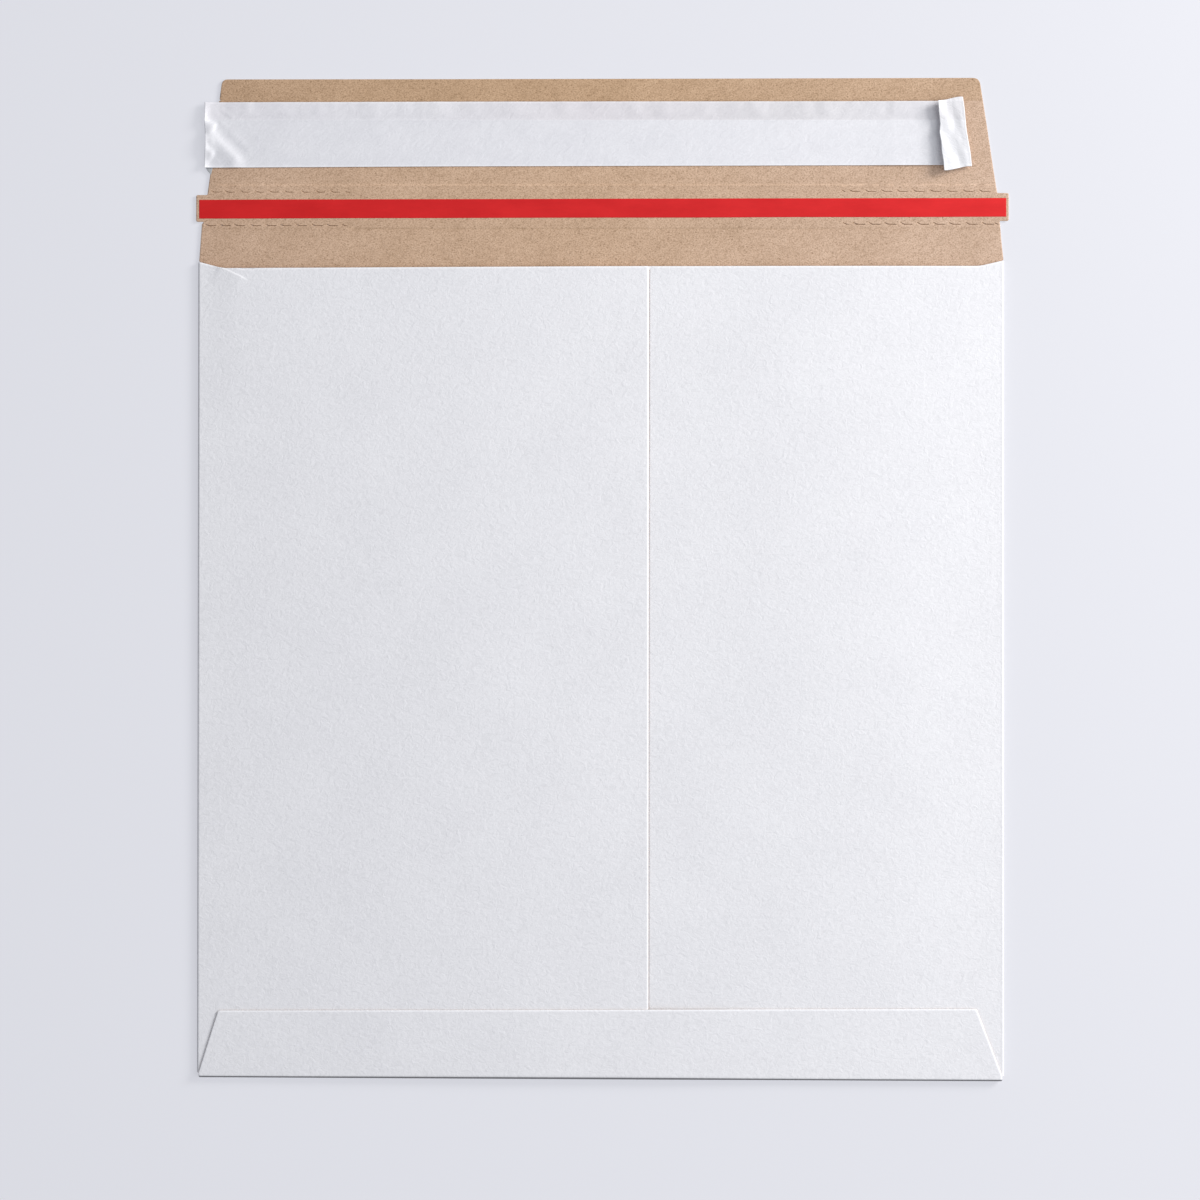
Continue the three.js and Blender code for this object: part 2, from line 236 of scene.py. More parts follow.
def outline():
    """The die-cut outline of the sheet, anticlockwise."""
    pts = []
    # free edge of the bottom flap, with eased corners
    yl, yr = tail_v(-174.0), tail_v(-172.2)
    pts += curve((-153.6, yl + 0.55), (-153.15, yl), (-152.5, yl), 4)
    pts += curve((150.3, yr), (150.95, yr), (151.3, yr + 0.8), 4)
    # right corner of the bottom fold and the right side panel's lower edge
    pts += [(161.25, -203.7), (161.2, -199.75), (161.35, TUBE_LOW)]
    pts += [(right_u(UNDER_X) - 0.3, TUBE_LOW), (right_u(UNDER_X), TUBE_LOW + 0.3)]
    pts += [(right_u(UNDER_X), 125.0), (right_u(UNDER_X) - 0.3, 125.3)]
    # throat and right shoulder
    pts += curve((right_u(150.6), 125.2), (right_u(152.3), 125.22), (right_u(153.9), 125.55), 4)
    pts += [(right_u(160.6), 127.12), (161.7, 127.25)]
    # closure flap, right side
    pts += [(161.15, 127.32), (161.9, 127.62)]
    pts += [(161.05, 135.6), (160.42, 142.9)]
    pts += curve((160.4, 143.15), (160.42, 143.3), (160.7, 143.32), 3)
    pts += curve((163.2, 143.3), (164.0, 143.3), (164.0, 144.1), 5)
    pts += curve((164.0, 153.75), (164.0, 154.55), (163.2, 154.55), 5)
    pts += curve((159.7, 154.57), (159.4, 154.57), (159.35, 154.85), 3)
    pts += [(157.9, 163.8), (155.2, 181.95)]
    pts += curve((152.62, 198.3), (152.2, 200.85), (149.5, 200.85), 10)
    # closure flap, top edge and left side
    pts += [(40.0, 200.83), (-60.0, 200.87)]
    pts += curve((-150.3, 201.0), (-152.5, 201.0), (-152.85, 198.7), 10)
    pts += [(-153.6, 193.0), (-153.3, 192.75), (-153.35, 192.4), (-153.78, 192.25), (-153.9, 191.5), (-157.2, 163.6)]
    pts += curve((-158.45, 154.65), (-158.5, 154.38), (-158.8, 154.36), 3)
    pts += curve((-162.2, 154.35), (-163.0, 154.35), (-163.0, 153.55), 5)
    pts += curve((-163.0, 144.3), (-163.0, 143.5), (-162.2, 143.5), 5)
    pts += curve((-160.35, 143.48), (-160.1, 143.48), (-160.07, 143.2), 3)
    pts += [(-160.66, 142.6), (-161.75, 127.62), (-161.15, 127.32)]
    # left shoulder, throat and the left panel's free edge
    pts += [(-161.7, 127.2), (left_u(-160.6), 127.0)]
    pts += curve((left_u(-154.3), 125.3), (left_u(-152.6), 124.85), (left_u(-150.9), 124.72), 4)
    pts += [(left_u(SEAM_X) + 0.45, 125.25), (left_u(SEAM_X), 124.8)]
    pts += [(left_u(SEAM_X), TUBE_LOW + 0.4), (left_u(SEAM_X) + 0.4, TUBE_LOW)]
    pts += [(-161.35, TUBE_LOW), (-161.2, -199.75), (-161.25, -203.5)]
    return pts


def step_at(p, q):
    """How finely an edge is cut up between two points."""
    m = ((p[0] + q[0]) / 2, (p[1] + q[1]) / 2)
    near_fold = 160.6 < abs(m[0]) < 163.6 and m[1] < CREASE_Y
    near_bend = -203.9 < m[1] < -199.0 and abs(m[0]) < 162
    near_crease = 126.0 < m[1] < 129.2 and abs(m[0]) < 163
    return 0.15 if near_fold or near_bend or near_crease else 3.0


def cut_up(pts):
    out = []
    n = len(pts)
    for i in range(n):
        p, q = np.array(pts[i], float), np.array(pts[(i + 1) % n], float)
        length = float(np.hypot(*(q - p)))
        if length < 1e-9:
            continue
        # coarse first, then finer where the sheet is bent
        k = max(1, int(math.ceil(length / 3.0)))
        for j in range(k):
            a, b = p + (q - p) * j / k, p + (q - p) * (j + 1) / k
            m = max(1, int(math.ceil(length / k / step_at(a, b))))
            for l in range(m):
                out.append(a + (b - a) * l / m)
    # where a long edge crosses a fold, cut the crossing finely too
    fine = []
    for i, p in enumerate(out):
        q = out[(i + 1) % len(out)]
        fine.append(p)
        if abs(p[1] - q[1]) < 1e-6 and p[1] < CREASE_Y:
            lo, hi = sorted((abs(p[0]), abs(q[0])))
            if lo < 163.4 and hi > 163.4 and hi - lo > 0.5:
                sign = 1 if p[0] > 0 else -1
                xs = [sign * e for e in np.arange(lo + 0.15, 163.45, 0.15)]
                if abs(p[0]) > abs(q[0]):
                    xs = xs[::-1]
                fine += [np.array([e, p[1]]) for e in xs]
    return np.array(fine)


def offset(loop, d):
    """The loop moved inwards by d, point by point (an anticlockwise loop)."""
    prev, nxt = np.roll(loop, 1, 0), np.roll(loop, -1, 0)
    e0, e1 = loop - prev, nxt - loop
    e0 = e0 / np.linalg.norm(e0, axis=1)[:, None]
    e1 = e1 / np.linalg.norm(e1, axis=1)[:, None]
    n0 = np.stack([-e0[:, 1], e0[:, 0]], 1)
    n1 = np.stack([-e1[:, 1], e1[:, 0]], 1)
    m = n0 + n1
    m = m / np.maximum(np.linalg.norm(m, axis=1), 1e-6)[:, None]
    k = 1 / np.clip((m * n0).sum(1), 0.45, 1)
    return loop + m * (k * d)[:, None]


def distance_to_loop(points, loop):
    a, b = loop, np.roll(loop, -1, 0)
    ab = b - a
    l2 = np.maximum((ab ** 2).sum(1), 1e-12)
    best = np.empty(len(points))
    for i in range(0, len(points), 2000):
        p = points[i:i + 2000]
        t = np.clip(((p[:, None] - a[None]) * ab[None]).sum(2) / l2, 0, 1)
        d = p[:, None] - (a[None] + t[:, :, None] * ab[None])
        best[i:i + 2000] = np.sqrt((d ** 2).sum(2).min(1))
    return best


def inside(points, loop):
    x, y = points[:, 0], points[:, 1]
    x0, y0 = loop[:, 0], loop[:, 1]
    x1, y1 = np.roll(x0, -1), np.roll(y0, -1)
    out = np.zeros(len(points), bool)
    dy = np.where(y1 == y0, 1e-12, y1 - y0)
    for i in range(0, len(points), 4000):
        px, py = x[i:i + 4000, None], y[i:i + 4000, None]
        cross = (y0 > py) != (y1 > py)
        xi = x0 + (py - y0) / dy * (x1 - x0)
        out[i:i + 4000] = (cross & (px < xi)).sum(1) % 2 == 1
    return out


# hooked slits of the tear strip: left ends of the hooks, and how long each dash is
SLITS = []
for xs, y0, slope, hook, dash, drop, width in (
    ([-156.8, -151.2, -145.03, -139.17, -133.43, -127.25, -120.47, -114.57, -108.6], 155.48, -0.0020, 1.2, 2.35, 0.55, 0.14),
    ([-159.3, -153.38, -147.6, -141.17, -134.99, -128.93, -122.63, -116.2, -110.2], 141.95, -0.0020, 1.4, 2.9, 0.6, 0.20),
    ([100.05, 106.34, 112.92, 119.1, 125.6, 132.37, 139.2, 145.55, 152.0], 155.26, -0.0015, 1.4, 2.9, 0.7, 0.15),
    ([101.69, 107.95, 114.2, 120.7, 127.3, 133.8, 140.1, 146.79, 153.36], 142.06, -0.0015, 1.5, 3.1, 0.75, 0.20),
):
    for x in xs:
        SLITS.append((x, y0 + slope * abs(x - xs[0]), hook, dash, drop, width))
SLITS += [(-102.6, 155.4, 0.5, 1.2, 0.3, 0.12), (-104.3, 141.86, 1.4, 0.9, 0.75, 0.16), (97.5, 142.08, 1.5, 0.7, 0.75, 0.17),
          (96.9, 155.3, 1.2, 0.2, 0.7, 0.12), (158.25, 141.98, 1.3, 0.35, 0.6, 0.17)]


def slit_loop(x, y, hook, dash, drop, width):
    w = width / 2
    upper = [(x + w * 0.7, y + drop + w), (x + hook * 0.55, y + drop * 0.42 + w), (x + hook + w, y + w)]
    lower = [(x - w * 0.7, y + drop - w), (x + hook * 0.45, y + drop * 0.42 - w), (x + hook - w, y - w)]
    n = max(1, int(round(dash / 0.8)))
    for i in range(1, n + 1):
        upper.append((x + hook + dash * i / n + (0 if i < n else -0.06), y + w * (1 if i < n else 0.7)))
        lower.append((x + hook + dash * i / n + (0 if i < n else -0.06), y - w * (1 if i < n else 0.7)))
    tip = [(x + hook + dash + 0.06, y)]
    return np.array(lower + tip + upper[::-1])


SCORES = [(158.23, 157.64, 0.13), (140.67, 140.16, -0.09)]     # left y, right y, height


def score_y(x, s):
    return mix(s[0], s[1], (x + 150.0) / 306.0)


def relief_kraft(u, v, e_slit):
    """Pressed and raised lines on the kraft side of the closure flap."""
    z = np.zeros(len(u))
    on_flap = v > 130
    for s in SCORES:
        a = (v - score_y(u, s)) / 0.42
        z += np.where(on_flap, s[2] * np.exp(-a * a), 0)
    return z


def pressed_light_and_shade(u, v, e_slit):
    """Painted highlight and painted shade of pressed lines and slits: 0.5 is bare board, more is a ridge, less a
    groove.
    """
    t = np.full(len(u), 0.5)
    for s in SCORES:
        a = (v - score_y(u, s)) / 0.4
        t += np.where(v > 130, (0.5 if s[2] > 0 else -0.25) * np.exp(-a * a), 0)
    # painted shade: dark along a slit, where shade falls in the cut, and a paler lip round it
    t += 0.35 * np.exp(-((e_slit - 0.34) / 0.14) ** 2) - 0.5 * np.exp(-(e_slit / 0.13) ** 2)
    return np.clip(t, 0, 1)


def sheet():
    loop = cut_up(outline())
    points, e_cut, e_slit, edges = [], [], [], []

    def add(p, cut=9.0, slit=9.0):
        start = len(points)
        points.extend(map(tuple, p))
        e_cut.extend(np.broadcast_to(cut, len(p)))
        e_slit.extend(np.broadcast_to(slit, len(p)))
        return start

    def add_loop(p, **k):
        start = add(p, **k)
        n = len(p)
        edges.extend((start + i, start + (i + 1) % n) for i in range(n))

    add_loop(loop, cut=0.0)
    for d in (0.06, 0.14, 0.26, 0.42, 0.6, 0.8, 1.15, 1.9):
        ring = offset(loop, d)
        ok = inside(ring, loop)
        ring = ring[ok]
        real = distance_to_loop(ring, loop)
        keep = real > d * 0.93
        add(ring[keep], cut=d)

    slit_loops = [slit_loop(*s) for s in SLITS]
    for sl in slit_loops:
        add_loop(sl, slit=0.0)
        for d in (0.08, 0.2, 0.34, 0.5, 0.7):
            ring = offset(sl, -d)
            keep = distance_to_loop(ring, sl) > d * 0.9
            ring = ring[keep]
            far = distance_to_loop(ring, loop) > 0.2
            add(ring[far], slit=d)

    tree = KDTree(len(points))
    for i, p in enumerate(points):
        tree.insert((p[0], p[1], 0), i)
    tree.balance()

    def spaced(p, gap):
        return np.array([q for q in p if tree.find((q[0], q[1], 0))[2] > gap])

    def grid(us, vs):
        return np.array([(a, b) for a in us for b in vs], float)

    extra = []
    # side folds
    for sign in (-1, 1):
        us = sign * np.arange(160.8, 163.45, 0.135)
        extra.append((grid(us, np.arange(-191.5, 124.0, 5.0)), 1.0))
        extra.append((grid(us, (-198.7, -198.2, -197.6, -196.8, -195.8, -194.6, -193.2)), 0.07))
    # bottom fold
    extra.append((grid(np.arange(-158.0, 158.1, 4.0), np.arange(-203.3, -199.3, 0.2)), 1.0))
    # the dent beside the seam
    extra.append((grid([right_u(x) for x in (17.4, 18.2, 18.9, 19.3, 19.5, 19.65, 19.8, 19.95, 20.1, 20.25, 20.4, 20.7)],
                       np.arange(-196.5, 124.0, 4.0)), 0.1))
    # crease of the closure flap
    extra.append((grid(np.arange(-160.0, 160.1, 4.0), np.arange(126.3, 128.75, 0.12)), 0.5))
    # pressed lines
    for s in SCORES:
        for dy in (-1.3, -0.85, -0.55, -0.35, -0.2, -0.07, 0.07, 0.2, 0.35, 0.55, 0.85, 1.3):
            us = np.arange(-155.5, 158.0, 3.0)
            extra.append((np.stack([us, score_y(us, s) + dy], 1), 0.28))
    # the buckle beside the left shoulder
    direction = (BUCKLE_B - BUCKLE_A) / np.hypot(*(BUCKLE_B - BUCKLE_A))
    near = np.array([BUCKLE_A + direction * a + np.array([-direction[1], direction[0]]) * c
                     for a in np.arange(-3.0, 14.0, 0.3) for c in np.arange(-2.4, 2.5, 0.17)])
    near[:, 0] = [left_u(x) for x in near[:, 0]]
    near = near[inside(near, loop)]
    extra.append((near[distance_to_loop(near, loop) > 0.15], 0.12))
    us = np.array([left_u(x) for x in np.arange(-156.0, -140.0, 0.8)])
    extra.append((grid(us, np.arange(116.5, 124.0, 0.8)), 0.5))
    for p, gap in extra:
        p = spaced(p, gap)
        add(p)
    # everything else
    everywhere = grid(np.arange(-342.0, 330.0, 4.0), np.arange(-229.0, 200.5, 4.0))
    a, v = np.abs(everywhere[:, 0]), everywhere[:, 1]
    skip = ((a > 160.2) & (a < 164.2) & (v < CREASE_Y)) | ((v > -204.2) & (v < -198.4))
    skip |= (v > 125.4) & (v < 129.6)
    skip |= np.abs(everywhere[:, 0] - right_u(19.5)) < 3.2
    for s in SCORES:
        skip |= np.abs(v - score_y(everywhere[:, 0], s)) < 1.9
    skip |= (everywhere[:, 0] < left_u(-156.5)) & (everywhere[:, 0] > left_u(-139.5)) & (v > 116)
    everywhere = everywhere[~skip]
    everywhere = everywhere[inside(everywhere, loop)]
    everywhere = everywhere[distance_to_loop(everywhere, loop) > 3.2]
    add(spaced(everywhere, 1.3))

    co = [Vector(p) for p in points]
    verts, _, faces, orig, _, _ = delaunay_2d_cdt(co, edges, [], 0, 1e-6, True)
    flat = np.array([(p[0], p[1]) for p in verts])
    cut = np.array([min((e_cut[i] for i in o), default=9.0) for o in orig])
    slit = np.array([min((e_slit[i] for i in o), default=9.0) for o in orig])
    tri = np.array(faces, int)
    mid = flat[tri].mean(1)
    keep = inside(mid, loop)
    for sl in slit_loops:
        lo, hi = sl.min(0) - 0.01, sl.max(0) + 0.01
        near = np.where(keep & (mid > lo).all(1) & (mid < hi).all(1))[0]
        if len(near):
            keep[near[inside(mid[near], sl)]] = False
    tri = tri[keep]
    p = flat[tri]
    area = (p[:, 1, 0] - p[:, 0, 0]) * (p[:, 2, 1] - p[:, 0, 1]) - (p[:, 1, 1] - p[:, 0, 1]) * (p[:, 2, 0] - p[:, 0, 0])
    tri[area < 0] = tri[area < 0][:, ::-1]
    tri = tri[np.abs(area) > 1e-9]
    used = np.unique(tri)
    remap = -np.ones(len(flat), int)
    remap[used] = np.arange(len(used))
    flat, cut, slit, tri = flat[used], cut[used], slit[used], remap[tri]

    # rounded cut edges
    def eased(e, width):
        q = np.clip(1 - e / width, 0, 1)
        return 1 - np.sqrt(np.clip(1 - q * q, 0, 1))

    u, v = flat[:, 0], flat[:, 1]
    drop_out = 0.30 * eased(cut, 0.80) + 0.10 * eased(slit, 0.2)
    drop_in = 0.21 * eased(cut, 0.42) + 0.09 * eased(slit, 0.2)
    top = place(u, v, HALF - drop_in + relief_kraft(u, v, slit))
    # the knife goes in at a slant, so that no light shows through the slits
    slant = 0.21 * np.exp(-slit / 0.4)
    low = place(u, v - slant, -HALF + drop_out)
    n = len(flat)
    co = np.concatenate([top, low]) * MM

    edge_count = {}
    for t in tri:
        for i in range(3):
            e = (int(t[i]), int(t[(i + 1) % 3]))
            edge_count[e] = edge_count.get(e, 0) + 1
    border = [e for e in edge_count if (e[1], e[0]) not in edge_count]
    walls = []
    for i, j in border:
        walls.append((i, i + n, j + n))
        walls.append((i, j + n, j))
    faces = [tuple(t) for t in tri] + [tuple(t[::-1] + n) for t in tri] + walls
    mesh = bpy.data.meshes.new("mailer_sheet")
    mesh.from_pydata([tuple(c) for c in co], [], [tuple(int(i) for i in f) for f in faces])
    attribute = mesh.attributes.new("flat", "FLOAT_VECTOR", "POINT")
    side = np.concatenate([np.full(n, 1.0), np.full(n, 0.0)])
    data = np.stack([np.tile(u, 2) * MM, np.tile(v, 2) * MM, side * 0.05], 1)
    attribute.data.foreach_set("vector", data.astype(np.float32).ravel())
    # cut_edge drives the painted highlight and painted shade along the cut edges
    edge_light_mask = mesh.attributes.new("cut_edge", "FLOAT", "POINT")
    edge_light_mask.data.foreach_set("value", np.concatenate([np.clip(1 - cut / 0.8, 0, 1)] * 2).astype(np.float32))
    tone = mesh.attributes.new("pressed", "FLOAT", "POINT")
    tone.data.foreach_set("value", np.tile(pressed_light_and_shade(u, v, slit), 2).astype(np.float32))
    # kraft inside, white outside; the thin cut face goes with the side that is seen
    slots = np.concatenate([np.ones(len(tri), int), np.zeros(len(tri), int),
                            np.array([1 if v[e[0]] > CREASE_Y else 0 for e in border for _ in (0, 1)], int)])
    mesh.polygons.foreach_set("material_index", slots.astype(np.int32))
    mesh.polygons.foreach_set("use_smooth", np.ones(len(slots), bool))
    mesh.update()
    obj = bpy.data.objects.new("mailer_sheet", mesh)
    bpy.context.scene.collection.objects.link(obj)
    return obj


# --------------------------------------------------------- thin layers in grids
def closed_grid(name, mid, thickness, ease=0.0):
    """A thin closed sheet round a grid of middle points (rows, columns, 3)."""
    rows, cols = mid.shape[:2]
    du = np.gradient(mid, axis=0)
    dv = np.gradient(mid, axis=1)
    nor = np.cross(du, dv)
    nor /= np.maximum(np.linalg.norm(nor, axis=2), 1e-12)[:, :, None]
    half = np.full((rows, cols), thickness / 2)
    half[[0, -1], :] *= 1 - ease
    half[:, [0, -1]] *= 1 - ease
    top = mid + nor * half[:, :, None]
    low = mid - nor * half[:, :, None]
    co = np.concatenate([top.reshape(-1, 3), low.reshape(-1, 3)]) * MM
    n = rows * cols
    idx = np.arange(n).reshape(rows, cols)
    a, b, c, d = idx[:-1, :-1].ravel(), idx[1:, :-1].ravel(), idx[1:, 1:].ravel(), idx[:-1, 1:].ravel()
    faces = list(zip(a, b, c, d)) + list(zip(d + n, c + n, b + n, a + n))
    loop = np.concatenate([idx[0, :-1], idx[:-1, -1], idx[-1, :0:-1], idx[:0:-1, 0]])
    nxt = np.roll(loop, -1)
    faces += list(zip(loop, nxt, nxt + n, loop + n))
    mesh = bpy.data.meshes.new(name)
    mesh.from_pydata([tuple(p) for p in co], [], [tuple(int(i) for i in f) for f in faces])
    mesh.polygons.foreach_set("use_smooth", np.ones(len(faces), bool))
    mesh.update()
    obj = bpy.data.objects.new(name, mesh)
    bpy.context.scene.collection.objects.link(obj)
    return obj


def remember_flat(obj, flat):
    attribute = obj.data.attributes.new("flat", "FLOAT_VECTOR", "POINT")
    both = np.concatenate([flat.reshape(-1, 2)] * 2) * MM
    data = np.concatenate([both, np.zeros((len(both), 1))], 1)
    attribute.data.foreach_set("vector", data.astype(np.float32).ravel())


def spread(*parts):
    """Stations along a run: (from, to, step) pieces joined end to end."""
    out = []
    for a, b, step in parts:
        n = max(1, int(round((b - a) / step)))
        out += list(np.linspace(a, b, n, endpoint=False))
    return np.array(out + [parts[-1][1]])


# red tape of the tear strip
def tear_tape():
    xs = spread((-161.75, -161.2, 0.14), (-161.2, 162.4, 2.0), (162.4, 163.0, 0.15))
    ts = np.array([0, 0.012, 0.035, 0.08, 0.2, 0.35, 0.5, 0.65, 0.8, 0.92, 0.965, 0.988, 1.0])
    X, T = np.meshgrid(xs, ts, indexing="ij")
    k = (X + 161.75) / 324.75
    y0, y1 = mix(144.8, 145.0, k), mix(152.39, 152.55, k)
    y0 = y0 + 0.04 * waves(X, T * 0, 30, 41)
    y1 = y1 + 0.04 * waves(X, T * 0, 34, 42)
    Y = mix(y0, y1, T)
    Z = 0.672 + flap_wave(X, Y) + 0.012 * waves(X, Y, 9.0, 43)
    edge = np.minimum(T, 1 - T) * 7.6
    end = np.minimum(X + 161.75, 163.0 - X)
    Z = Z - 0.03 * np.clip(1 - edge / 0.25, 0, 1) ** 2 - 0.03 * np.clip(1 - end / 0.3, 0, 1) ** 2
    obj = closed_grid("tear_tape_film", np.stack([X, Y, Z], 2), 0.085, ease=0.5)
    remember_flat(obj, np.stack([X, Y], 2))
    return obj


# release liner over the adhesive
LINER_T = 0.11
FREE_EDGE = [(135.35, 191.25), (135.62, 187.1), (136.26, 181.9), (135.95, 178.5), (136.65, 174.6),
             (136.83, 170.9), (137.55, 166.6), (137.85, 163.2)]


def liner_relief(x, y):
    """Crinkles, the ridge along the adhesive's edge and the loose dry band."""
    v_edge = mix(184.57, 183.9, (x + 159.0) / 280.0)
    past = y - v_edge
    z = -0.05 * smooth(past / 0.35) + 0.06 * np.exp(-((past + 0.25) / 0.22) ** 2)
    band = smooth((past - 0.3) / 3.0)
    loose = 0.16 + 0.14 * waves(x, y * 0.4, 11.0, 51) + 0.09 * waves(x, y * 0.5, 4.5, 52)
    z = z + band * np.clip(loose, 0.0, 0.6)
    # small bubbles and creases where it is stuck down
    z = z + (1 - band) * (0.018 * waves(x, y, 5.0, 53) + 0.010 * waves(x, y, 2.2, 54))
    low = np.exp(-((y - 165.6) / 0.9) ** 2)
    z = z + low * np.clip(0.05 + 0.06 * waves(x, y * 0, 7.0, 55), 0, 0.2)
    # the cut edges: the lower one turned up, the upper one turned down
    z = z + 0.09 * np.exp(-np.clip(y - 165.6, 0, None) / 0.35) - 0.10 * np.exp(-np.clip(191.65 - y, 0, None) / 0.3) * band
    return z


def end_relief(x, y):
    """The wavy, crinkled left end that hangs past the side of the flap."""
    d = np.clip((x + 159.4) / 16.0, 0, 1)
    near = (1 - smooth(d))
    very = np.exp(-np.clip(x + 159.4, 0, None) / 2.5)
    z = very * (1.00 + 0.46 * np.cos((y - 174.5) / 12.0 * 2 * math.pi) + 0.22 * waves(x * 0.6, y, 3.4, 61))

    def ridge(ax, ay, bx, by, width, height, skew=0.0):
        dx, dy = bx - ax, by - ay
        length = math.hypot(dx, dy)
        dx, dy = dx / length, dy / length
        along = ((x - ax) * dx + (y - ay) * dy) / length
        across = -(x - ax) * dy + (y - ay) * dx
        w = width * np.where(across > 0, 1 + skew, 1 - skew)
        return height * np.exp(-(across / w) ** 2) * smooth((along + 0.25) / 0.3) * (1 - smooth((along - 0.85) / 0.35))

    z = z + ridge(-160.4, 184.6, -155.4, 182.0, 1.7, 0.70, -0.3)
    z = z + ridge(-160.0, 178.0, -156.0, 176.0, 1.0, 0.30, -0.3)
    z = z + ridge(-152.6, 188.3, -148.2, 185.3, 0.8, 0.12, 0.2)
    z = z + ridge(-160.0, 173.4, -156.2, 170.6, 1.9, 0.80, -0.35)
    z = z + ridge(-157.8, 179.4, -145.6, 167.0, 3.3, 0.95, -0.38)
    z = z + ridge(-153.2, 183.4, -150.6, 181.2, 0.7, 0.12, 0.2)
    z = z + ridge(-148.6, 178.6, -141.5, 172.0, 1.6, 0.16, 0.3)
    z = z + near * 0.06 * waves(x, y, 2.4, 62)
    return np.clip(z, 0.0, 1.9)


def liner():
    ts = np.concatenate([[0, 0.006, 0.02], np.linspace(0.04, 0.66, 19), np.linspace(0.675, 0.80, 12),
                         np.linspace(0.82, 0.96, 8), [0.98, 0.994, 1.0]])
    xs = spread((-159.4, -157.0, 0.3), (-157.0, -140.0, 0.5), (-140.0, -60.0, 1.6), (-60.0, 60.0, 2.0),
                (60.0, 112.0, 1.6), (112.0, 118.0, 0.8))
    n_lift, n_turn, n_back = 40, 12, 34
    lift_q = np.linspace(0, 1, n_lift + 1)[1:]
    turn_q = np.linspace(0, 1, n_turn + 1)[1:]
    back_q = np.linspace(0, 1, n_back + 1)[1:]
    stations = len(xs) + n_lift + n_turn + n_back
    mid = np.zeros((stations, len(ts), 3))
    flat = np.zeros((stations, len(ts), 2))
    y0_at = lambda x: np.interp(x, [-159.4, -60, 118], [165.27, 165.62, 165.75])
    y1_at = lambda x: np.interp(x, [-159.4, -60, 118], [191.7, 191.74, 191.5])
    base = 0.81
    free = np.array(FREE_EDGE)[::-1]
    free_x = np.interp(ts, (free[:, 1] - free[0, 1]) / (free[-1, 1] - free[0, 1]), free[:, 0])
    free_y = mix(free[0, 1], free[-1, 1], ts)
    fold_x = mix(148.7, 145.0, ts) + 0.16 * np.sin(ts * 9.0)
    fold_y = mix(165.1, 193.04, ts)
    fold_z = 1.75 + 0.25 * np.sin(ts * 2.5 + 0.4)
    r = 0.36
    row = 0
    for x in xs:
        y = mix(y0_at(x), y1_at(x), ts)
        xx = np.full(len(ts), x)
        if x < -150:
            # the cut end isn't straight
            k = 1 - smooth((x + 159.4) / 8.0)
            wob = 0.14 * np.sin((y - 170.2) / 4.1) - 0.10 * np.sin((y - 165.0) / 2.2)
            xx = xx + k * wob
        z = base + flap_wave(np.maximum(xx, -156.0), y) + liner_relief(xx, y) + end_relief(xx, y)
        if x > 100:
            z = z + 0.25 * smooth((x - 100) / 18.0) * smooth((x - 100) / 18.0)
        mid[row] = np.stack([xx, y, z], 1)
        flat[row] = np.stack([xx, y], 1)
        row += 1
    last = mid[row - 1].copy()
    for q in lift_q:
        x = mix(118.0, fold_x, q)
        k = smooth((x - 137.0) / (fold_x - 137.0))
        y = mix(last[:, 1], fold_y, k)
        z = mix(last[:, 2], fold_z, q ** 2.4) + liner_relief(x, y) * 0 + 0.05 * waves(x, y, 6.0, 71) * np.sin(q * 3.1)
        mid[row] = np.stack([x, y, z], 1)
        flat[row] = np.stack([x, y], 1)
        row += 1
    for q in turn_q:
        a = -math.pi / 2 + math.pi * q
        x = fold_x + r * math.cos(a)
        z = fold_z + r + r * math.sin(a)
        mid[row] = np.stack([x, fold_y, z], 1)
        flat[row] = np.stack([150.3 + 0.5 * q + 0 * fold_x, fold_y], 1)
        row += 1
    for q in back_q:
        x = mix(fold_x, free_x, q)
        y = mix(fold_y, free_y, smooth(q))
        zf = 4.5 + 0.30 * np.sin(ts * 7.0 + 0.6) + 0.15 * np.sin(ts * 15.0)
        rise = 0.07 * smooth(q / 0.17) + 0.30 * q + 0.63 * max(0.0, (q - 0.42) / 0.58) ** 1.2
        z = mix(fold_z + 2 * r, zf, rise)
        # soft slanting folds, strongest towards the creased end
        slanting = (x - 141.0) * 0.86 + (y - 178.0) * 0.50
        bands = 0.13 * np.sin(slanting * 2 * math.pi / 6.2 + 1.1) + 0.09 * waves(x, y, 4.2, 81)
        z = z + bands * smooth(q / 0.25)
        mid[row] = np.stack([x, y, z], 1)
        flat[row] = np.stack([150.0 + (fold_x - x), y], 1)
        row += 1
    # columns run towards +Y, so that the top normal points up on the run
    obj = closed_grid("release_liner_strip", mid, LINER_T, ease=0.3)
    remember_flat(obj, flat)
    return obj


def adhesive():
    """The clear film under the liner; its small drawn-out tail at the lower left corner is made by adhesive_tail."""
    xs = spread((-156.6, -150.0, 0.6), (-150.0, 131.0, 4.0))
    ts = np.linspace(0, 1, 13)
    X, T = np.meshgrid(xs, ts, indexing="ij")
    low = np.where(X < -150, 166.0 + 0.4 * smooth((X + 158.9) / 6), 166.4)
    high = mix(184.57, 183.9, (X + 159.0) / 280.0)
    Y = mix(low, high, T)
    Z = 0.675 + flap_wave(np.maximum(X, -156.0), Y) + 0 * X
    film = closed_grid("closure_adhesive_film", np.stack([X, Y, Z], 2), 0.08, ease=0.4)
    remember_flat(film, np.stack([X, Y], 2))
    return film


